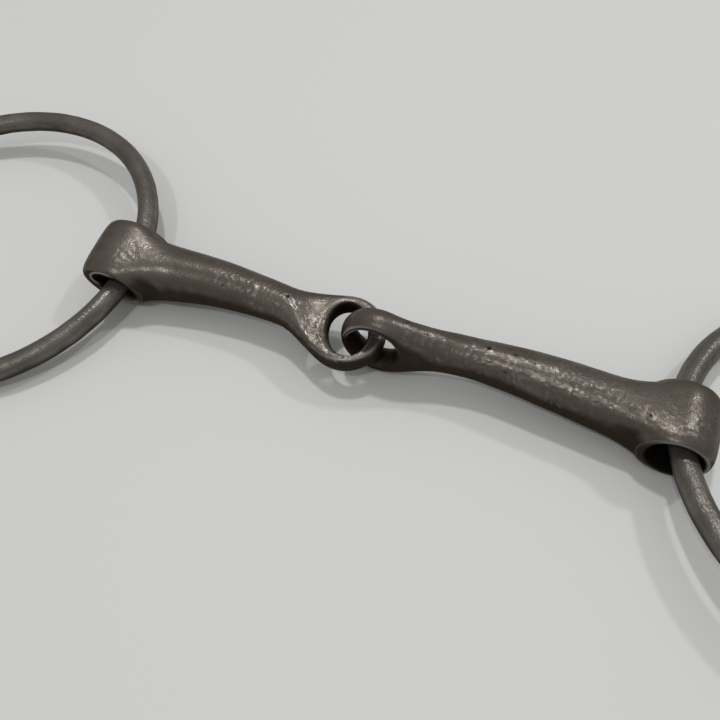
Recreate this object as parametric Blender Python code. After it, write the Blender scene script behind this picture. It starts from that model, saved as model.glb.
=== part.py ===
"""Loose-ring snaffle bit with a single-jointed mouthpiece.

Four separate pieces: two forged cannons, each with a cross barrel at its outer end and an eye at its
inner end, and two round rings that run loose through the barrels.  The two eyes are linked through
each other like chain links.  The bit lies on a table: +X runs along the mouthpiece, +Z is up, and the
origin is on the table under the middle of the whole bit.
"""

import math

import bmesh
import bpy
from mathutils import Matrix, Vector

MM = 0.001
SIDES = 12            # corners of every control loop round a cannon, an eye or a barrel
SMOOTHING = 1         # levels of subdivision on the cannons

# Rings, in millimetres
RING_DIAMETER = 87.4          # between wire centres
RING_WIRE = 5.4
RING_SPREAD = 219.7           # from one ring's middle to the other's, along X
RING_SKEW = 11.0              # the right ring's middle lies this much further along Y
RING_SEGMENTS = 48
WIRE_SIDES = 10

# Barrels, in millimetres
BARREL_LENGTH = 16.0
BARREL_SHOULDER = 6.0         # half the length that keeps the full thickness
RIM_TAPER = 0.9               # how much the barrel narrows at its two rims
MOUTH_RADIUS = 5.2
BORE_RADIUS = 4.7
BORE_HALF_LENGTH = 4.0

# Cannons, in millimetres and degrees.  Each is described with its barrel's middle at (0, 0, 0), the bore
# along Y and the bar running along +X, then turned about Z and moved to where its barrel is.  "barrel"
# is its half width and half height, and "bore_shift" moves its bore along X and up; "eye" is the eye's middle; "eye_outer" and "eye_hole" are half lengths
# and half widths.  "eye_rounding" is how far the outer edge and the edge of the hole are eased back at
# the two faces.  "hole_shift" moves the hole towards the nose and "hole_lean" slants it.  Each section
# of the bar is (distance from the bore, half width, half height, shift along Y, shift up).
CANNONS = {
    "cannon_left": {
        "place": (-67.15, -1.4, 8.66),
        "turn": 0.0,
        "barrel": (9.0, 8.0),
        "barrel_roll": 10.0,
        "bore_shift": (0.5, -0.55),
        "eye": (59.6, -1.1, 0.0),
        "eye_roll": 6.0,
        "eye_thickness": 5.4,
        "eye_rounding": (0.5, 1.0),
        "eye_outer": (9.4, 9.2),
        "eye_hole": (4.4, 5.8),
        "hole_shift": 0.5,
        "hole_lean": 0.2,
        "sections": (
            (13.0, 6.8, 6.8, 0.8, -0.5),
            (21.0, 6.1, 6.0, 1.8, -0.3),
            (30.0, 5.4, 5.3, 2.0, -0.1),
            (39.0, 4.9, 4.7, 1.6, 0.0),
            (46.2, 4.9, 4.3, 0.7, 0.1),
        ),
    },
    "cannon_right": {
        "place": (66.05, -0.1, 7.5),
        "turn": 180.0,
        "barrel": (8.2, 7.5),
        "barrel_roll": 0.0,
        "bore_shift": (-0.4, 0.1),
        "eye": (65.5, 2.6, 2.4),
        "eye_roll": 90.0,
        "eye_thickness": 5.8,
        "eye_rounding": (1.3, 1.6),
        "eye_outer": (9.3, 9.6),
        "eye_hole": (4.6, 4.7),
        "hole_shift": 0.7,
        "hole_lean": 0.0,
        "sections": (
            (12.8, 6.6, 6.3, -0.1, 0.4),
            (20.7, 6.1, 6.0, -0.7, 0.8),
            (31.7, 5.6, 5.6, -1.3, 1.0),
            (42.7, 4.5, 4.6, -1.3, 1.1),
            (52.3, 4.5, 5.0, 0.2, 2.0),
        ),
    },
}

# Each ring lies in a plane; its slope is how much that plane rises along X and along Y
RINGS = {
    "ring_left": {"cannon": "cannon_left", "side": -1.0, "slope": (0.030, 0.073)},
    "ring_right": {"cannon": "cannon_right", "side": 1.0, "slope": (-0.008, -0.093)},
}

# Worn dark iron: forged and pitted on the cannons, smoother on the rings
IRON_COLOR = (0.105, 0.097, 0.088, 1.0)
IRON_ROUGHNESS = 0.48
WIRE_COLOR = (0.120, 0.113, 0.105, 1.0)
WIRE_ROUGHNESS = 0.40


def clear_scene():
    """Remove every object, so that the file holds only the bit."""
    for item in list(bpy.data.objects):
        bpy.data.objects.remove(item, do_unlink=True)


def iron(name, color, roughness):
    """Worn dark iron."""
    material = bpy.data.materials.new(name)
    material.use_nodes = True
    shader = material.node_tree.nodes["Principled BSDF"]
    shader.inputs["Base Color"].default_value = color
    shader.inputs["Roughness"].default_value = roughness
    shader.inputs["Metallic"].default_value = 1.0
    return material


def control_scale(corners):
    """How far out a control loop of that many corners lies from the smooth circle it makes."""
    return 3.0 / (2.0 + math.cos(2.0 * math.pi / corners))


def loft(bm, loops, closed_path=False):
    """Join loops of vertices, each closed, with rows of four-sided faces."""
    pairs = list(zip(loops, loops[1:]))
    if closed_path:
        pairs.append((loops[-1], loops[0]))
    rows = []
    for first, second in pairs:
        row = []
        for k in range(len(first)):
            after = (k + 1) % len(first)
            row.append(bm.faces.new((first[k], first[after], second[after], second[k])))
        rows.append(row)
    return rows


def eye_cage(bm, shape):
    """A thick flat ring whose faces are open towards -X; returns the loop round that opening."""
    centre = Vector(shape["eye"])
    spin = Matrix.Rotation(math.radians(shape["eye_roll"]), 3, "X")
    deep = Vector((0.0, 0.0, shape["eye_thickness"] / 2.0))
    outer_ease, hole_ease = shape["eye_rounding"]
    grow = control_scale(SIDES)
    loops = []
    for k in range(SIDES):
        angle = 2.0 * math.pi * k / SIDES
        outward = Vector((math.cos(angle), math.sin(angle), 0.0))
        outer = Vector([size * grow * part for size, part in zip(shape["eye_outer"], outward)] + [0.0])
        inner = Vector([size * grow * part for size, part in zip(shape["eye_hole"], outward)] + [0.0])
        inner.x += shape["hole_shift"] - shape["hole_lean"] * inner.y
        middle = (outer + inner) / 2.0
        edge = outer - outward * outer_ease
        lip = inner + outward * hole_ease
        outline = (
            outer,
            edge + deep,
            middle + deep,
            lip + deep,
            inner,
            lip - deep,
            middle - deep,
            edge - deep,
        )
        loops.append([bm.verts.new(centre + spin @ point) for point in outline])
    rows = loft(bm, loops, closed_path=True)
    neck = [face for row in rows[4:8] for face in (row[0], row[-1])]
    return open_patch(bm, neck, centre)


def barrel_cage(bm, shape):
    """A tube along Y round the bore, open towards +X; returns the loop round that opening."""
    wide, tall = shape["barrel"]
    rim = BARREL_LENGTH / 2.0
    side, rise = shape["bore_shift"]
    outside = [
        (wide - RIM_TAPER, tall - RIM_TAPER, -rim),
        (wide, tall, -BARREL_SHOULDER),
        (wide, tall, 0.0),
        (wide, tall, BARREL_SHOULDER),
        (wide - RIM_TAPER, tall - RIM_TAPER, rim),
    ]
    inside = [
        (MOUTH_RADIUS, rim),
        (BORE_RADIUS, BORE_HALF_LENGTH),
        (BORE_RADIUS, -BORE_HALF_LENGTH),
        (MOUTH_RADIUS, -rim),
    ]
    grow = control_scale(SIDES)
    spin = Matrix.Rotation(math.radians(shape["barrel_roll"]), 3, "X")
    loops = []
    for k in range(SIDES):
        angle = 2.0 * math.pi * k / SIDES
        across = grow * math.cos(angle)
        up = grow * math.sin(angle)
        places = [(half_width * across, along, half_height * up) for half_width, half_height, along in outside]
        places += [(side + radius * across, along, rise + radius * up) for radius, along in inside]
        loops.append([bm.verts.new(spin @ Vector(place)) for place in places])
    rows = loft(bm, loops, closed_path=True)
    neck = [face for row in (rows[-2], rows[-1], rows[0], rows[1]) for face in row[1:3]]
    return open_patch(bm, neck, Vector((0.0, 0.0, 0.0)))


def open_patch(bm, faces, centre):
    """Delete the faces and return the loop round them, in order of angle about X."""
    inside = set(faces)
    border = set()
    for face in faces:
        for edge in face.edges:
            if any(other not in inside for other in edge.link_faces):
                border.update(edge.verts)
    bmesh.ops.delete(bm, geom=faces, context="FACES")
    return order_round_x(border, centre)


def order_round_x(verts, centre):
    """Sort vertices by angle about the X line through centre, from the +Y side."""
    half_step = math.pi / SIDES

    def angle(vert):
        offset = vert.co - centre
        return (math.atan2(offset.z, offset.y) + half_step / 2.0) % (2.0 * math.pi)

    return sorted(verts, key=angle)


def section_loop(bm, section):
    """One oval control loop across the cannon."""
    along, half_width, half_height, side, rise = section
    grow = control_scale(SIDES)
    loop = []
    for k in range(SIDES):
        angle = 2.0 * math.pi * k / SIDES
        y = side + half_width * grow * math.cos(angle)
        z = rise + half_height * grow * math.sin(angle)
        loop.append(bm.verts.new((along, y, z)))
    return loop


def build_cannon(name, shape, material):
    """A cannon as one forging: barrel, tapering bar and eye, rounded into each other."""
    bm = bmesh.new()
    loops = [barrel_cage(bm, shape)]
    for section in shape["sections"]:
        loops.append(section_loop(bm, section))
    loops.append(eye_cage(bm, shape))
    loft(bm, loops)
    bmesh.ops.recalc_face_normals(bm, faces=bm.faces)
    bm.transform(Matrix.Scale(MM, 4))
    item = mesh_object(name, bm, material)
    smooth = item.modifiers.new("forged_rounding", "SUBSURF")
    smooth.levels = SMOOTHING
    smooth.render_levels = SMOOTHING
    item.rotation_euler.z = math.radians(shape["turn"])
    item.location = Vector(shape["place"]) * MM
    return item


def build_ring(name, side, bore, slope, material):
    """A round ring lying outwards from its barrel, tilted, with its lowest point on the table.

    Its origin is where the wire crosses the barrel, on the axis that it swings about.
    """
    radius = RING_DIAMETER / 2.0
    middle = Vector((side * RING_SPREAD / 2.0, side * RING_SKEW / 2.0, 0.0))
    normal = Vector((-slope[0], -slope[1], 1.0)).normalized()
    middle.z = RING_WIRE / 2.0 + radius * math.sqrt(1.0 - normal.z ** 2)
    reach_y = bore[1] - middle.y
    crossing = Vector((middle.x - side * math.sqrt(radius ** 2 - reach_y ** 2), bore[1], 0.0))
    crossing.z = middle.z + slope[0] * (crossing.x - middle.x) + slope[1] * reach_y
    lie = Vector((0.0, 0.0, 1.0)).rotation_difference(normal).to_matrix()
    bm = bmesh.new()
    loops = []
    for k in range(RING_SEGMENTS):
        turn = Matrix.Rotation(2.0 * math.pi * k / RING_SEGMENTS, 3, "Z")
        loop = []
        for j in range(WIRE_SIDES):
            angle = 2.0 * math.pi * (j + 0.5) / WIRE_SIDES
            out = radius + RING_WIRE / 2.0 * math.cos(angle)
            point = lie @ turn @ Vector((out, 0.0, RING_WIRE / 2.0 * math.sin(angle)))
            loop.append(bm.verts.new(point + middle - crossing))
        loops.append(loop)
    loft(bm, loops, closed_path=True)
    bmesh.ops.recalc_face_normals(bm, faces=bm.faces)
    bm.transform(Matrix.Scale(MM, 4))
    item = mesh_object(name, bm, material)
    item.location = crossing * MM
    return item


def mesh_object(name, bm, material):
    """Turn a bmesh into a smooth-shaded object in the scene."""
    mesh = bpy.data.meshes.new(name)
    bm.to_mesh(mesh)
    bm.free()
    mesh.shade_smooth()
    mesh.materials.append(material)
    item = bpy.data.objects.new(name, mesh)
    bpy.context.scene.collection.objects.link(item)
    return item


def main():
    clear_scene()
    for name, shape in CANNONS.items():
        build_cannon(name, shape, iron(name + "_iron", IRON_COLOR, IRON_ROUGHNESS))
    for name, shape in RINGS.items():
        bore = CANNONS[shape["cannon"]]["place"]
        metal = iron(name + "_iron", WIRE_COLOR, WIRE_ROUGHNESS)
        build_ring(name, shape["side"], bore, shape["slope"], metal)


main()
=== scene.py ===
"""A loose-ring snaffle bit on a pale table: fine surfaces, worn iron, soft light and the camera.

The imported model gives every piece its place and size.  Each cannon and each ring is made again here
as a finer mesh of the same shape, with the dents, pits and rubbed edges of old forged iron, and it
stands for the plain one.  Lengths are in metres unless a name says otherwise.
"""

import math

import bmesh
import bpy
import numpy as np
from mathutils import Matrix, Vector, noise


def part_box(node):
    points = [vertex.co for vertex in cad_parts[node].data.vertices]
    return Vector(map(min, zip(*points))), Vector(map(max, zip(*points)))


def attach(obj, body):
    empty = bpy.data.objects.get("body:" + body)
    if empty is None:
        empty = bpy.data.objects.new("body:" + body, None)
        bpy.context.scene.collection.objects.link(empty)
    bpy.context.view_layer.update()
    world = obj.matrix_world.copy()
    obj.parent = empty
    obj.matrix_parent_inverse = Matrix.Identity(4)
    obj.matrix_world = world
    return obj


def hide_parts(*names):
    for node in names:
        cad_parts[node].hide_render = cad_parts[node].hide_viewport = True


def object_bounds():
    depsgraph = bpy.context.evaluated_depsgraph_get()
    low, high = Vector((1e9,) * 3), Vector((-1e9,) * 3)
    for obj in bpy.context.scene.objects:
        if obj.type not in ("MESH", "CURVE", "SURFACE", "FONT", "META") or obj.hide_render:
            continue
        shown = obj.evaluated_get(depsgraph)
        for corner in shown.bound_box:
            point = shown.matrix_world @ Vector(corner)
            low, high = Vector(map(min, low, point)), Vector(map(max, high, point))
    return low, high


MM = 0.001

# Cannons, in millimetres and degrees, described as in the CAD model: the barrel's middle at (0, 0, 0),
# the bore along Y and the bar along +X, then turned about Z.  "barrel" is its half width and half
# height, and "bore_shift" moves the bore along X and up.  "eye" is the eye's middle, "eye_outer" and
# "eye_hole" are half lengths and half widths.  "eye_rounding" eases back the outer edge and the hole's
# edge, "hole_shift" moves the hole towards the nose and "hole_lean" slants it.  Each section of the
# bar is (distance from the barrel's middle, half width, half height, shift along Y, shift up).
SIDES = 12                    # corners of every control loop
SMOOTHING = 4                 # levels of subdivision
BARREL_LENGTH = 16.0
BARREL_SHOULDER = 6.0
RIM_TAPER = 0.9
MOUTH_RADIUS = 5.2
MOUTH_LIP = 0.5               # width of the edge round a mouth
BORE_RADIUS = 4.7
BORE_HALF_LENGTH = 4.0
CANNONS = {
    "cannon_left": {
        "turn": 0.0,
        "barrel": (9.0, 8.0),
        "barrel_roll": 10.0,
        "bore_shift": (0.5, -0.55),
        "eye": (59.6, -1.1, 0.0),
        "eye_roll": 6.0,
        "eye_thickness": 5.4,
        "eye_rounding": (0.5, 1.0),
        "eye_outer": (9.4, 9.2),
        "eye_hole": (4.4, 5.8),
        "hole_shift": 0.5,
        "hole_lean": 0.2,
        "sections": (
            (13.0, 6.8, 6.8, 0.8, -0.5),
            (21.0, 6.1, 6.0, 1.8, -0.3),
            (30.0, 5.4, 5.3, 2.0, -0.1),
            (39.0, 4.9, 4.7, 1.6, 0.0),
            (46.2, 4.9, 4.3, 0.7, 0.1),
        ),
    },
    "cannon_right": {
        "turn": 180.0,
        "barrel": (8.2, 7.5),
        "barrel_roll": 0.0,
        "bore_shift": (-0.4, 0.1),
        "eye": (65.5, 2.6, 2.4),
        "eye_roll": 90.0,
        "eye_thickness": 5.8,
        "eye_rounding": (1.3, 1.6),
        "eye_outer": (9.3, 9.6),
        "eye_hole": (4.6, 4.7),
        "hole_shift": 0.7,
        "hole_lean": 0.0,
        "sections": (
            (12.8, 6.6, 6.3, -0.1, 0.4),
            (20.7, 6.1, 6.0, -0.7, 0.8),
            (31.7, 5.6, 5.6, -1.3, 1.0),
            (42.7, 4.5, 4.6, -1.3, 1.1),
            (52.3, 4.5, 5.0, 0.2, 2.0),
        ),
    },
}

# Rings; the lengths are in millimetres
RING_SEGMENTS = 400
WIRE_SIDES = 40
RING_OUT_OF_TRUE = 0.12
WIRE_WEAR = 0.03              # how far the worn surface lies inside the CAD model's wire
WIRE_DENTS = 0.05
WIRE_DENTS_PER_METRE = 300.0
WIRE_SCRATCHES = 0.018
WIRE_SCRATCHES_PER_METRE = 900.0
UV_PER_METRE = 10.0

# Rough patches of the cannons: (middle in the row frame, in millimetres, radius)
ROUGH_PATCHES = {
    "cannon_left": (
        ((-63.0, -4.5, 15.8), 5.0),
        ((-38.0, 0.0, 13.3), 4.0),
        ((-30.0, -1.0, 12.4), 5.0),
        ((-22.0, -2.2, 11.6), 5.0),
        ((-14.5, -6.0, 10.5), 5.0),
        ((-6.0, -9.0, 9.5), 4.0),
    ),
    "cannon_right": (
        ((9.0, -2.6, 16.0), 4.0),
        ((15.0, -2.4, 13.8), 4.0),
        ((23.0, -1.2, 13.4), 5.0),
        ((32.0, -1.6, 13.3), 5.0),
        ((42.0, -1.6, 13.8), 6.5),
        ((50.0, -1.0, 14.4), 5.0),
        ((57.0, -3.2, 14.6), 4.0),
        ((64.0, -4.0, 15.6), 4.5),
        ((68.0, -2.5, 15.8), 4.5),
    ),
}

# Marks of the forging, in millimetres: width, height on smooth iron, and what a rough patch adds
FORGE_MARKS = {
    "hammer": (7.0, 0.085, 0.0),
    "lumps": (2.6, 0.024, 0.0),
    "grain": (0.85, 0.006, 0.070),
    "fine": (0.45, 0.003, 0.030),
}
PATCH_EDGE_WIDTH = 3.0        # width of the lumps that make the edge of a rough patch ragged
PIT_SPACING = 2.2
PIT_SHARE = 0.30              # part of the places at that spacing that hold a pit
PIT_RADIUS = 0.34             # of the widest pit, as a part of the spacing
PIT_DEPTH = 0.11

# Colours of the iron and of the table
FORGED_DARK = (0.132, 0.115, 0.099)
FORGED_PALE = (0.164, 0.146, 0.129)
FORGED_MOTTLE = (0.094, 0.076, 0.059)
FORGED_SPECKS = (0.050, 0.040, 0.031)
# painted shade on the cannons' lower sides, in the bores, round the mouths and round the right eye's hole
FORGED_PAINTED_SHADE = (0.030, 0.020, 0.013)
# worn bright edges and spots, and a painted highlight on the left mouth's lip
FORGED_WEAR_AND_HIGHLIGHT = (0.410, 0.400, 0.388)
# dark pits, and painted shade in the bores and on the walls of the eyes' holes
FORGED_PITS_AND_HOLE_SHADE = (0.012, 0.009, 0.007)
WIRE_DARK = (0.156, 0.142, 0.126)
WIRE_PALE = (0.208, 0.193, 0.175)
WIRE_STREAKS = (0.095, 0.082, 0.069)
WIRE_SPECKS = (0.060, 0.052, 0.045)
# painted shade on the rings' lower sides
WIRE_PAINTED_SHADE = (0.034, 0.027, 0.021)
TABLE_COLOR = (0.79, 0.80, 0.79, 1.0)
METALLIC = 0.65               # the iron is dull with age
GLOSS = 0.2                   # and its skin of oxide shines little
EDGE_TINT = (0.45, 0.40, 0.35, 1.0)    # colour of its reflections at a glancing angle

# Camera and light, seen from the middle of the table top
CAMERA_PLACE = (0.0367, -0.0892, 0.1426)
CAMERA_TARGET = (-0.0043, -0.0031, 0.0)
CAMERA_ROLL = -4.06           # degrees
CAMERA_LENS_MM = 36.1
TABLE_SIZE = 6.0
TABLE_GAP_MM = 0.1            # between the table top and the lowest point of the bit
WORLD_COLOR = (1.0, 0.995, 0.98, 1.0)
WORLD_ZENITH = 0.46
WORLD_HORIZON = 0.25
LIGHT_DISTANCE = 1.1
LIGHT_SIZE = 0.08
LIGHTS = {                    # the way towards each light, and its watts
    "overhead": ((-0.15, 0.30, 0.94), 2.4),
    "front": ((-0.10, -0.45, 0.89), 1.3),
    "back_right": ((0.42, 0.52, 0.74), 1.5),
}


# ---------------------------------------------------------------- shapes of the cannons


def control_scale(corners):
    """How far out a control loop of that many corners lies from the smooth circle it makes."""
    return 3.0 / (2.0 + math.cos(2.0 * math.pi / corners))


def loft(bm, loops, closed_path=False):
    """Join loops of vertices, each closed, with rows of four-sided faces."""
    pairs = list(zip(loops, loops[1:]))
    if closed_path:
        pairs.append((loops[-1], loops[0]))
    rows = []
    for first, second in pairs:
        row = []
        for k in range(len(first)):
            after = (k + 1) % len(first)
            row.append(bm.faces.new((first[k], first[after], second[after], second[k])))
        rows.append(row)
    return rows


def eye_cage(bm, shape):
    """A thick flat ring whose faces are open towards -X; returns the loop round that opening."""
    centre = Vector(shape["eye"])
    spin = Matrix.Rotation(math.radians(shape["eye_roll"]), 3, "X")
    deep = Vector((0.0, 0.0, shape["eye_thickness"] / 2.0))
    outer_ease, hole_ease = shape["eye_rounding"]
    grow = control_scale(SIDES)
    loops = []
    for k in range(SIDES):
        angle = 2.0 * math.pi * k / SIDES
        outward = Vector((math.cos(angle), math.sin(angle), 0.0))
        outer = Vector([size * grow * part for size, part in zip(shape["eye_outer"], outward)] + [0.0])
        inner = Vector([size * grow * part for size, part in zip(shape["eye_hole"], outward)] + [0.0])
        inner.x += shape["hole_shift"] - shape["hole_lean"] * inner.y
        middle = (outer + inner) / 2.0
        edge = outer - outward * outer_ease
        lip = inner + outward * hole_ease
        outline = (
            outer,
            edge + deep,
            middle + deep,
            lip + deep,
            inner,
            lip - deep,
            middle - deep,
            edge - deep,
        )
        loops.append([bm.verts.new(centre + spin @ point) for point in outline])
    rows = loft(bm, loops, closed_path=True)
    neck = [face for row in rows[4:8] for face in (row[0], row[-1])]
    return open_patch(bm, neck, centre)


def barrel_cage(bm, shape):
    """A tube along Y round the bore, open towards +X; returns the loop round that opening."""
    wide, tall = shape["barrel"]
    rim = BARREL_LENGTH / 2.0
    side, rise = shape["bore_shift"]
    outside = [
        (wide - RIM_TAPER, tall - RIM_TAPER, -rim),
        (wide, tall, -BARREL_SHOULDER),
        (wide, tall, 0.0),
        (wide, tall, BARREL_SHOULDER),
        (wide - RIM_TAPER, tall - RIM_TAPER, rim),
    ]
    inside = [
        (MOUTH_RADIUS + MOUTH_LIP, rim),
        (MOUTH_RADIUS, rim - 2.0 * MOUTH_LIP),
        (BORE_RADIUS, BORE_HALF_LENGTH),
        (BORE_RADIUS, -BORE_HALF_LENGTH),
        (MOUTH_RADIUS, 2.0 * MOUTH_LIP - rim),
        (MOUTH_RADIUS + MOUTH_LIP, -rim),
    ]
    grow = control_scale(SIDES)
    spin = Matrix.Rotation(math.radians(shape["barrel_roll"]), 3, "X")
    loops = []
    for k in range(SIDES):
        angle = 2.0 * math.pi * k / SIDES
        across = grow * math.cos(angle)
        up = grow * math.sin(angle)
        places = [(width * across, along, height * up) for width, height, along in outside]
        places += [(side + radius * across, along, rise + radius * up) for radius, along in inside]
        loops.append([bm.verts.new(spin @ Vector(place)) for place in places])
    rows = loft(bm, loops, closed_path=True)
    neck = [face for row in (rows[-2], rows[-1], rows[0], rows[1]) for face in row[1:3]]
    return open_patch(bm, neck, Vector((0.0, 0.0, 0.0)))


def open_patch(bm, faces, centre):
    """Delete the faces and return the loop round them, in order of angle about X."""
    inside = set(faces)
    border = set()
    for face in faces:
        for edge in face.edges:
            if any(other not in inside for other in edge.link_faces):
                border.update(edge.verts)
    bmesh.ops.delete(bm, geom=faces, context="FACES")
    return order_round_x(border, centre)


def order_round_x(verts, centre):
    """Sort vertices by angle about the X line through centre, from the +Y side."""
    half_step = math.pi / SIDES

    def angle(vert):
        offset = vert.co - centre
        return (math.atan2(offset.z, offset.y) + half_step / 2.0) % (2.0 * math.pi)

    return sorted(verts, key=angle)


def refined(sections):
    """Twice as many sections of the same smooth bar, so that its faces come out nearly square."""
    fine = [sections[0]]
    for before, here, after in zip(sections, sections[1:], sections[2:]):
        fine.append(tuple((p + q) / 2.0 for p, q in zip(before, here)))
        fine.append(tuple((p + 6.0 * q + r) / 8.0 for p, q, r in zip(before, here, after)))
    fine.append(tuple((p + q) / 2.0 for p, q in zip(sections[-2], sections[-1])))
    fine.append(sections[-1])
    return fine


def section_loop(bm, section):
    """One oval control loop across the cannon."""
    along, half_width, half_height, side, rise = section
    grow = control_scale(SIDES)
    loop = []
    for k in range(SIDES):
        angle = 2.0 * math.pi * k / SIDES
        y = side + half_width * grow * math.cos(angle)
        z = rise + half_height * grow * math.sin(angle)
        loop.append(bm.verts.new((along, y, z)))
    return loop


def cannon_mesh(name, shape):
    """The smooth cannon in the row frame, before its surface is marked, and its barrel's middle."""
    bm = bmesh.new()
    loops = [barrel_cage(bm, shape)]
    for section in refined(shape["sections"]):
        loops.append(section_loop(bm, section))
    loops.append(eye_cage(bm, shape))
    loft(bm, loops)
    bmesh.ops.recalc_face_normals(bm, faces=bm.faces)
    bm.transform(Matrix.Rotation(math.radians(shape["turn"]), 4, "Z") @ Matrix.Scale(MM, 4))
    mesh = subdivided(name, bm, SMOOTHING)
    low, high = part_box(name)
    points = vertex_array(mesh)
    move = np.array((low + high) / 2.0) - (points.min(axis=0) + points.max(axis=0)) / 2.0
    set_vertices(mesh, points + move)
    return mesh, Vector(move)


# ---------------------------------------------------------------- meshes


def subdivided(name, bm, levels):
    """The bmesh's cage as a smooth mesh after that many levels of subdivision."""
    cage = bpy.data.meshes.new(name + "_cage")
    bm.to_mesh(cage)
    bm.free()
    item = bpy.data.objects.new(name + "_cage", cage)
    bpy.context.scene.collection.objects.link(item)
    smooth = item.modifiers.new("smooth", "SUBSURF")
    smooth.levels = levels
    smooth.render_levels = levels
    bpy.context.view_layer.update()
    graph = bpy.context.evaluated_depsgraph_get()
    mesh = bpy.data.meshes.new_from_object(item.evaluated_get(graph))
    bpy.data.objects.remove(item, do_unlink=True)
    bpy.data.meshes.remove(cage)
    return mesh


def vertex_array(mesh):
    """The vertices' places as rows of three."""
    points = np.zeros(len(mesh.vertices) * 3, np.float32)
    mesh.vertices.foreach_get("co", points)
    return points.reshape(-1, 3).astype(float)


def normal_array(mesh):
    """The vertices' normals as rows of three."""
    normals = np.zeros(len(mesh.vertices) * 3, np.float32)
    mesh.vertex_normals.foreach_get("vector", normals)
    return normals.reshape(-1, 3).astype(float)


def set_vertices(mesh, points):
    """Move the vertices to those places."""
    mesh.vertices.foreach_set("co", points.astype(np.float32).ravel())
    mesh.update()


def store(mesh, name, values):
    """Keep one number for each vertex on the mesh, for its material to read."""
    layer = mesh.attributes.new(name, "FLOAT", "POINT")
    layer.data.foreach_set("value", values.astype(np.float32))


def smoothstep(low, high, values):
    """0 at low and 1 at high, with a smooth run between; low may be the larger number."""
    share = np.clip((values - low) / (high - low), 0.0, 1.0)
    return share * share * (3.0 - 2.0 * share)


def sharpness(mesh, points, normals):
    """How tightly the surface bends outwards at each vertex, in 1/m, along its tightest edge."""
    ends = np.zeros(len(mesh.edges) * 2, np.int32)
    mesh.edges.foreach_get("vertices", ends)
    first, second = ends.reshape(-1, 2).T
    step = points[second] - points[first]
    length = np.maximum((step ** 2).sum(axis=1), 1e-12)
    bend = np.full(len(points), -1e9)
    np.maximum.at(bend, first, -2.0 * (step * normals[first]).sum(axis=1) / length)
    np.maximum.at(bend, second, 2.0 * (step * normals[second]).sum(axis=1) / length)
    return bend


def noise_field(points, feature_mm, shift):
    """Smooth noise from -1 to 1 with lumps about that wide."""
    scale = 1.0 / (feature_mm * MM)
    offset = Vector((shift, -shift, 0.5 * shift))
    return np.array([noise.noise(Vector(point) * scale + offset) for point in points])


def pit_field(points, spacing_mm, share, radius, shift):
    """Round pits scattered at that spacing: 1 in the middle of a pit, 0 outside."""
    scale = 1.0 / (spacing_mm * MM)
    offset = Vector((shift, 0.3 * shift, -shift))
    depth = np.zeros(len(points))
    for k, point in enumerate(points):
        distances, centres = noise.voronoi(Vector(point) * scale + offset)
        chance = 0.5 + 0.5 * noise.cell(centres[0] * 7.31)
        if chance < share:
            width = radius * (0.45 + 0.55 * chance / share)
            depth[k] = max(0.0, 1.0 - (distances[0] / width) ** 2)
    return depth


# ---------------------------------------------------------------- forged surface


def patch_mask(points, patches):
    """1 in the rough patches, fading to 0 outside them."""
    mask = np.zeros(len(points))
    for middle, radius in patches:
        away = np.linalg.norm(points - np.array(middle) * MM, axis=1) / (radius * MM)
        mask = np.maximum(mask, 1.0 - smoothstep(0.45, 1.1, away))
    return mask


def turn_about_z(shape):
    """The rotation from a cannon's own axes to those of the row frame."""
    return Matrix.Rotation(math.radians(shape["turn"]), 3, "Z")


def eye_middle(shape, barrel):
    """The middle of the eye in the row frame, from the middle of the barrel."""
    return barrel + turn_about_z(shape) @ (Vector(shape["eye"]) * MM)


def bore_distance(points, shape, barrel):
    """How far each vertex lies from the bore's middle line, seen along Y, in millimetres."""
    along, up = shape["bore_shift"]
    facing = turn_about_z(shape) @ Vector((1.0, 0.0, 0.0))
    middle_x = barrel.x + facing.x * along * MM
    middle_z = barrel.z + up * MM
    return np.hypot(points[:, 0] - middle_x, points[:, 2] - middle_z) / MM


def eye_recess(points, shape, barrel):
    """1 on the walls of the eye's hole, fading to 0 on its limbs; these walls get painted shade."""
    lie = turn_about_z(shape) @ Matrix.Rotation(math.radians(shape["eye_roll"]), 3, "X")
    local = (points - np.array(eye_middle(shape, barrel))) @ np.array(lie) / MM
    half_length, half_width = shape["eye_hole"]
    across = local[:, 1] / half_width
    along = (local[:, 0] - shape["hole_shift"] + shape["hole_lean"] * local[:, 1]) / half_length
    return 1.0 - smoothstep(1.06, 1.26, np.hypot(along, across))


def painted_lip_highlight(points, radial, barrel):
    """1 on the front lip of the left mouth, up and to the left of the ring, where a highlight is painted
    on it in the colour of rubbed iron.
    """
    lip = 1.0 - smoothstep(0.15, 0.4, np.abs(radial - MOUTH_RADIUS - 0.6))
    from_barrel = (points - np.array(barrel)) / MM
    front = smoothstep(-6.5, -7.3, from_barrel[:, 1] + 0.17 * from_barrel[:, 2])
    return lip * front * smoothstep(1.0, 4.0, from_barrel[:, 2] - from_barrel[:, 0])


def painted_edge_shade(points, name, radial, barrel):
    """Painted shade: 1 where an edge is rounded off and is painted dark, round the mouths and round the
    right eye's hole.
    """
    near_mouth = 1.0 - smoothstep(MOUTH_RADIUS + 0.4, MOUTH_RADIUS + 1.6, radial)
    if name == "cannon_left":
        from_barrel = (points - np.array(barrel)) / MM
        return near_mouth * smoothstep(-3.0, 1.0, from_barrel[:, 0] - from_barrel[:, 2] + 4.0)
    eye = eye_middle(CANNONS[name], barrel)
    from_eye = np.linalg.norm(points - np.array(eye), axis=1) / MM
    low = smoothstep(3.0, 1.0, (points[:, 2] - eye.z) / MM)
    return np.maximum(near_mouth, low * (1.0 - smoothstep(8.0, 10.0, from_eye)))


def rough_places(points, name, seed):
    """1 in the rough patches, with ragged edges, and 0 outside them."""
    rough = patch_mask(points, ROUGH_PATCHES[name])
    ragged = noise_field(points, PATCH_EDGE_WIDTH, seed)
    return np.clip(rough + 0.45 * ragged * rough, 0.0, 1.0)


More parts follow.
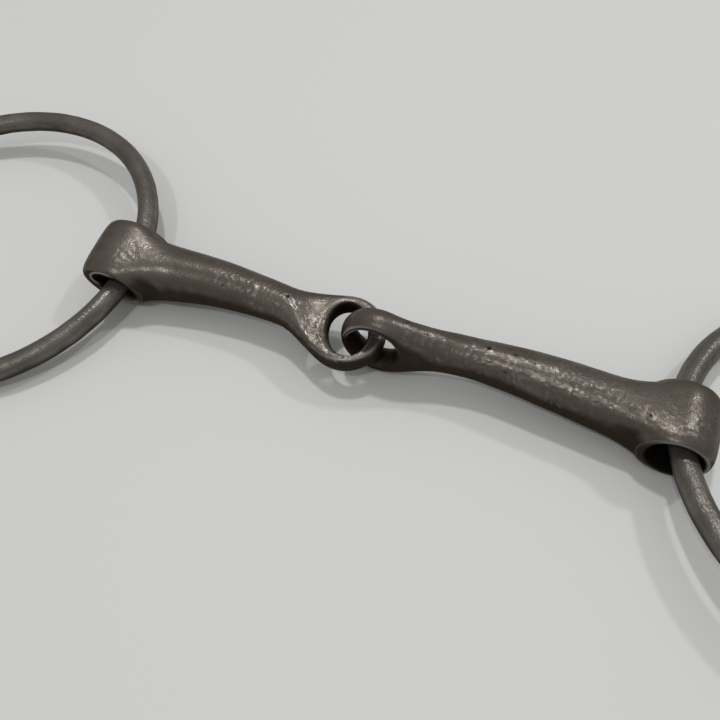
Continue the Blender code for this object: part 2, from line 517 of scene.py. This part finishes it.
def forge_marks(points, rough, seed):
    """The noise of each kind of mark, and the height in millimetres that they make together."""
    fields = {}
    lift = np.zeros(len(points))
    for k, (mark, (width, height, added)) in enumerate(FORGE_MARKS.items()):
        fields[mark] = noise_field(points, width, seed + 10.0 * (k + 1))
        lift += (height + added * rough) * fields[mark]
    return fields, lift


def forge_surface(mesh, name, barrel, seed):
    """Mark the cannon: its relief as geometry, and as stored numbers its pits and rubbed spots, a painted
    highlight on the left mouth's lip, and painted shade on its lower sides, in its bore, round its mouths
    and in its eye's hole.
    """
    shape = CANNONS[name]
    points = vertex_array(mesh)
    normals = normal_array(mesh)
    rough = rough_places(points, name, seed)
    fields, lift = forge_marks(points, rough, seed)
    pits = pit_field(points, PIT_SPACING, PIT_SHARE, PIT_RADIUS, seed + 50.0) * (0.15 + 0.85 * rough)
    radial = bore_distance(points, shape, barrel)
    in_bore = 1.0 - smoothstep(MOUTH_RADIUS + 0.2, MOUTH_RADIUS + 1.2, radial)
    lift = (lift - PIT_DEPTH * pits) * (1.0 - in_bore)
    set_vertices(mesh, points + normals * (lift * MM)[:, None])
    # painted shade on the walls of the eye's hole
    recess = eye_recess(points, shape, barrel)
    # painted shade round the mouths and round the right eye's hole
    edge_shade = painted_edge_shade(points, name, radial, barrel)
    # a painted highlight on the left mouth's lip
    lip_highlight = painted_lip_highlight(points, radial, barrel) if name == "cannon_left" else 0.0
    wear_and_lip_highlight = smoothstep(500.0, 1400.0, sharpness(mesh, points, normals))
    wear_and_lip_highlight = np.clip(wear_and_lip_highlight + 0.35 * rough * smoothstep(0.15, 0.6, fields["grain"]), 0.0, 1.0)
    wear_and_lip_highlight = np.maximum(wear_and_lip_highlight * (1.0 - in_bore) * (1.0 - recess) * (1.0 - edge_shade), lip_highlight)
    # painted shade: the downward-facing sides are painted dark brown
    underside = smoothstep(0.62, 0.12, normals[:, 2] + 0.12 * fields["hammer"] + 0.10 * fields["lumps"])
    # painted shade in the bore: its walls are painted dark
    bore_shade = in_bore * (1.0 - lip_highlight)
    # dark pits, with painted shade in the bore and in the eye's hole
    store(mesh, "pits_and_hole_shade", np.clip(pits * 1.3 + bore_shade + recess, 0.0, 1.0))
    store(mesh, "wear_and_lip_highlight", wear_and_lip_highlight)
    store(mesh, "painted_shade", np.clip(underside + bore_shade + 0.8 * edge_shade, 0.0, 1.0))


# ---------------------------------------------------------------- rings


def ring_plane(node):
    """A CAD ring's middle, its plane's normal, its radius and its wire's radius."""
    points = vertex_array(node.data)
    middle = points.mean(axis=0)
    offsets = points - middle
    axes = np.linalg.svd(offsets, full_matrices=False)[2]
    normal = axes[2] * (1.0 if axes[2][2] > 0.0 else -1.0)
    height = offsets @ normal
    reach = np.linalg.norm(offsets - height[:, None] * normal, axis=1)
    wire = height.max()
    return Vector(middle), Vector(normal), (reach.max() + reach.min()) / 2.0, wire


def unroll(rows, wrap, radius, wire):
    """Lay the ring's surface out flat in its UV map, the length of the wire along U."""
    for k, row in enumerate(rows):
        for j, face in enumerate(row):
            places = ((k, j), (k, j + 1), (k + 1, j + 1), (k + 1, j))
            for corner, (along, across) in zip(face.loops, places):
                length = 2.0 * math.pi * radius * along / RING_SEGMENTS
                girth = 2.0 * math.pi * wire * across / WIRE_SIDES
                corner[wrap].uv = (length * UV_PER_METRE, girth * UV_PER_METRE)


def ring_mesh(name, node, seed):
    """A round wire ring in the row frame, a little out of true, with small dents."""
    middle, normal, radius, wire = ring_plane(node)
    lie = Vector((0.0, 0.0, 1.0)).rotation_difference(normal).to_matrix()
    bm = bmesh.new()
    wrap = bm.loops.layers.uv.new("wire")
    loops = []
    for k in range(RING_SEGMENTS):
        around = 2.0 * math.pi * k / RING_SEGMENTS
        outward = Vector((math.cos(around), math.sin(around), 0.0))
        bent = radius + RING_OUT_OF_TRUE * MM * noise.noise(outward * 1.6 + Vector((seed, 0.0, 0.0)))
        loop = []
        for j in range(WIRE_SIDES):
            angle = 2.0 * math.pi * j / WIRE_SIDES
            level = Vector((0.0, 0.0, math.sin(angle)))
            point = outward * (bent + wire * math.cos(angle)) + level * wire
            dents = noise.noise(point * WIRE_DENTS_PER_METRE + Vector((0.0, seed, 0.0)))
            scratches = noise.noise(point * WIRE_SCRATCHES_PER_METRE + Vector((seed, seed, 0.0)))
            lift = WIRE_DENTS * dents - WIRE_WEAR + WIRE_SCRATCHES * scratches
            point += (outward * math.cos(angle) + level) * lift * MM
            loop.append(bm.verts.new(lie @ point + middle))
        loops.append(loop)
    unroll(loft(bm, loops, closed_path=True), wrap, radius, wire)
    bmesh.ops.recalc_face_normals(bm, faces=bm.faces)
    mesh = bpy.data.meshes.new(name + "_fine")
    bm.to_mesh(mesh)
    bm.free()
    normals = normal_array(mesh)
    blotches = noise_field(vertex_array(mesh), 4.0, seed)
    # painted shade: the ring's lower side is painted dark
    store(mesh, "painted_shade", smoothstep(0.45, -0.25, normals[:, 2] + 0.25 * blotches))
    return mesh


# ---------------------------------------------------------------- materials


class Nodes:
    """Short calls for building one material's nodes."""

    def __init__(self, name):
        self.material = bpy.data.materials.new(name)
        self.material.use_nodes = True
        self.tree = self.material.node_tree
        self.shader = self.tree.nodes["Principled BSDF"]

    def add(self, kind, **settings):
        node = self.tree.nodes.new("ShaderNode" + kind)
        for key, value in settings.items():
            setattr(node, key, value)
        return node

    def link(self, output, target):
        self.tree.links.new(output, target)

    def places(self, kind="Object"):
        return self.add("TexCoord").outputs[kind]

    def noise(self, places, scale, detail=3.0, roughness=0.55):
        node = self.add("TexNoise")
        node.inputs["Scale"].default_value = scale
        node.inputs["Detail"].default_value = detail
        node.inputs["Roughness"].default_value = roughness
        self.link(places, node.inputs["Vector"])
        return node.outputs["Fac"]

    def stretched(self, places, scale):
        node = self.add("Mapping")
        node.inputs["Scale"].default_value = scale
        self.link(places, node.inputs["Vector"])
        return node.outputs["Vector"]

    def stored(self, name):
        return self.add("Attribute", attribute_name=name).outputs["Fac"]

    def remap(self, value, low, high, to_low, to_high):
        node = self.add("MapRange", interpolation_type="SMOOTHSTEP")
        for key, number in zip(("From Min", "From Max", "To Min", "To Max"), (low, high, to_low, to_high)):
            node.inputs[key].default_value = number
        self.link(value, node.inputs["Value"])
        return node.outputs["Result"]

    def math(self, operation, first, second):
        node = self.add("Math", operation=operation)
        for socket, value in zip(node.inputs, (first, second)):
            if isinstance(value, (int, float)):
                socket.default_value = value
            else:
                self.link(value, socket)
        return node.outputs["Value"]

    def mix_color(self, share, first, second):
        node = self.add("Mix", data_type="RGBA")
        self.link(share, node.inputs["Factor"])
        for key, value in (("A", first), ("B", second)):
            socket = next(s for s in node.inputs if s.name == key and s.type == "RGBA")
            if isinstance(value, tuple):
                socket.default_value = (*value, 1.0)
            else:
                self.link(value, socket)
        return next(s for s in node.outputs if s.type == "RGBA")

    def bump(self, height, distance, strength=1.0):
        node = self.add("Bump")
        node.inputs["Distance"].default_value = distance
        node.inputs["Strength"].default_value = strength
        self.link(height, node.inputs["Height"])
        return node.outputs["Normal"]


def dull_with_age(shader):
    """Old iron: less metallic than clean metal, with little gloss and brownish reflections."""
    shader.inputs["Metallic"].default_value = METALLIC
    shader.inputs["Specular IOR Level"].default_value = GLOSS
    shader.inputs["Specular Tint"].default_value = EDGE_TINT


def forged_iron():
    """Dark forged iron: grey-brown, mottled, pitted, brighter where it is rubbed, with a painted highlight
    on one lip and painted shade on the lower sides and in the hollows.
    """
    n = Nodes("forged_iron")
    places = n.places()
    clouds = n.noise(places, 90.0, 3.0)
    mottle = n.noise(places, 420.0, 4.0, 0.62)
    specks = n.noise(places, 1500.0, 2.0)
    tone = n.remap(clouds, 0.35, 0.65, 0.0, 1.0)
    color = n.mix_color(tone, FORGED_DARK, FORGED_PALE)
    color = n.mix_color(n.remap(mottle, 0.40, 0.70, 0.0, 0.45), color, FORGED_MOTTLE)
    color = n.mix_color(n.remap(specks, 0.60, 0.75, 0.0, 0.5), color, FORGED_SPECKS)
    # painted shade: dark brown on the lower sides, in the bore and round the mouths
    color = n.mix_color(n.math("MULTIPLY", n.stored("painted_shade"), 0.92), color, FORGED_PAINTED_SHADE)
    # rubbed wear on edges and spots, and the painted highlight on the left mouth's lip
    color = n.mix_color(n.math("MULTIPLY", n.stored("wear_and_lip_highlight"), 0.80), color, FORGED_WEAR_AND_HIGHLIGHT)
    # dark pits, and painted shade in the bore and in the eye's hole
    color = n.mix_color(n.stored("pits_and_hole_shade"), color, FORGED_PITS_AND_HOLE_SHADE)
    n.link(color, n.shader.inputs["Base Color"])
    rough = n.remap(mottle, 0.35, 0.70, 0.26, 0.40)
    rough = n.math("SUBTRACT", rough, n.math("MULTIPLY", n.stored("wear_and_lip_highlight"), 0.06))
    rough = n.math("ADD", rough, n.math("MULTIPLY", n.stored("pits_and_hole_shade"), 0.30))
    rough = n.math("ADD", rough, n.math("MULTIPLY", n.stored("painted_shade"), 0.20))
    n.link(rough, n.shader.inputs["Roughness"])
    dull_with_age(n.shader)
    height = n.math("ADD", n.noise(places, 1700.0, 3.0, 0.6), n.math("MULTIPLY", mottle, 0.6))
    n.link(n.bump(height, 0.00006), n.shader.inputs["Normal"])
    return n.material


def ring_iron():
    """Smoother iron wire, with faint streaks along it and painted shade on its lower side."""
    n = Nodes("ring_iron")
    wire = n.places("UV")
    places = n.places()
    streaks = n.noise(n.stretched(wire, (6.0, 160.0, 1.0)), 1.0, 3.0)
    clouds = n.noise(places, 130.0, 3.0)
    specks = n.noise(places, 1300.0, 2.0)
    color = n.mix_color(n.remap(clouds, 0.35, 0.65, 0.0, 1.0), WIRE_DARK, WIRE_PALE)
    color = n.mix_color(n.remap(streaks, 0.50, 0.75, 0.0, 0.5), color, WIRE_STREAKS)
    color = n.mix_color(n.remap(specks, 0.62, 0.74, 0.0, 0.6), color, WIRE_SPECKS)
    # painted shade on the lower side of the wire
    color = n.mix_color(n.math("MULTIPLY", n.stored("painted_shade"), 0.85), color, WIRE_PAINTED_SHADE)
    n.link(color, n.shader.inputs["Base Color"])
    n.link(n.remap(streaks, 0.30, 0.70, 0.24, 0.36), n.shader.inputs["Roughness"])
    dull_with_age(n.shader)
    height = n.math("ADD", n.math("MULTIPLY", streaks, 0.5), n.noise(places, 1300.0, 3.0, 0.6))
    n.link(n.bump(height, 0.00013), n.shader.inputs["Normal"])
    return n.material


def table_top():
    """Pale matt table."""
    n = Nodes("table_top")
    n.shader.inputs["Base Color"].default_value = TABLE_COLOR
    n.shader.inputs["Roughness"].default_value = 0.6
    return n.material


# ---------------------------------------------------------------- pieces


def add_piece(name, mesh, node, body, material):
    """Put a finished mesh in the scene, in place of its CAD node."""
    mesh.shade_smooth()
    mesh.materials.clear()
    mesh.materials.append(material)
    piece = bpy.data.objects.new(name, mesh)
    bpy.context.scene.collection.objects.link(piece)
    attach(piece, body)
    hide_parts(node)
    return piece


def build_cannons(material):
    for k, (name, shape) in enumerate(CANNONS.items()):
        mesh, barrel = cannon_mesh(name, shape)
        forge_surface(mesh, name, barrel, 3.7 + 11.0 * k)
        add_piece(name + "_forging", mesh, name, name, material)


def build_rings(material, nodes):
    for k, name in enumerate(("ring_left", "ring_right")):
        mesh = ring_mesh(name, nodes[name], 5.1 + 7.0 * k)
        add_piece(name + "_wire", mesh, name, name, material)


def build_table(level):
    """A plain table top at that height; it is staging, not part of the bit."""
    mesh = bpy.data.meshes.new("table")
    half = TABLE_SIZE / 2.0
    corners = [(-half, -half, level), (half, -half, level), (half, half, level), (-half, half, level)]
    mesh.from_pydata(corners, [], [(0, 1, 2, 3)])
    mesh.materials.append(table_top())
    table = bpy.data.objects.new("table", mesh)
    bpy.context.scene.collection.objects.link(table)


def build_world():
    """A soft room: bright overhead, dimmer towards the horizon."""
    world = bpy.data.worlds.new("studio")
    world.use_nodes = True
    tree = world.node_tree
    background = tree.nodes["Background"]
    background.inputs["Color"].default_value = WORLD_COLOR
    places = tree.nodes.new("ShaderNodeTexCoord")
    split = tree.nodes.new("ShaderNodeSeparateXYZ")
    ramp = tree.nodes.new("ShaderNodeMapRange")
    ramp.inputs["To Min"].default_value = WORLD_HORIZON
    ramp.inputs["To Max"].default_value = WORLD_ZENITH
    tree.links.new(places.outputs["Generated"], split.inputs["Vector"])
    tree.links.new(split.outputs["Z"], ramp.inputs["Value"])
    tree.links.new(ramp.outputs["Result"], background.inputs["Strength"])
    bpy.context.scene.world = world


def build_lights():
    """Small round lights that draw the highlights along the bars and the wire."""
    for name, (direction, watts) in LIGHTS.items():
        towards = Vector(direction).normalized()
        lamp = bpy.data.lights.new(name, "AREA")
        lamp.shape = "DISK"
        lamp.size = LIGHT_SIZE
        lamp.energy = watts
        item = bpy.data.objects.new(name, lamp)
        item.location = towards * LIGHT_DISTANCE
        item.rotation_mode = "QUATERNION"
        item.rotation_quaternion = towards.to_track_quat("Z", "Y")
        bpy.context.scene.collection.objects.link(item)


def build_camera():
    """Looks down at the middle of the mouthpiece from the front."""
    lens = bpy.data.cameras.new("camera")
    lens.lens = CAMERA_LENS_MM
    lens.clip_start = 0.001
    camera = bpy.data.objects.new("camera", lens)
    camera.location = CAMERA_PLACE
    gaze = Vector(CAMERA_TARGET) - Vector(CAMERA_PLACE)
    aim = gaze.to_track_quat("-Z", "Y").to_matrix()
    roll = Matrix.Rotation(math.radians(CAMERA_ROLL), 3, "Z")
    camera.rotation_euler = (aim @ roll).to_euler()
    bpy.context.scene.collection.objects.link(camera)
    bpy.context.scene.camera = camera


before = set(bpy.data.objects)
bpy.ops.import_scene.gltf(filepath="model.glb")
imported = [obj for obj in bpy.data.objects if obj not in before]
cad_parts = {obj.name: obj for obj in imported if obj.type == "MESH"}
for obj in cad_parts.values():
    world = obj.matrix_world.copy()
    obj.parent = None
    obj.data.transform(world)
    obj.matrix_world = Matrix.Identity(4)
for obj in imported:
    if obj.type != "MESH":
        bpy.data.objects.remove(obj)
cad_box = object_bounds()
build_camera()
build_cannons(forged_iron())
build_rings(ring_iron(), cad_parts)
build_table(cad_box[0].z - TABLE_GAP_MM * MM)
build_world()
build_lights()
bpy.context.scene.view_settings.view_transform = "Standard"
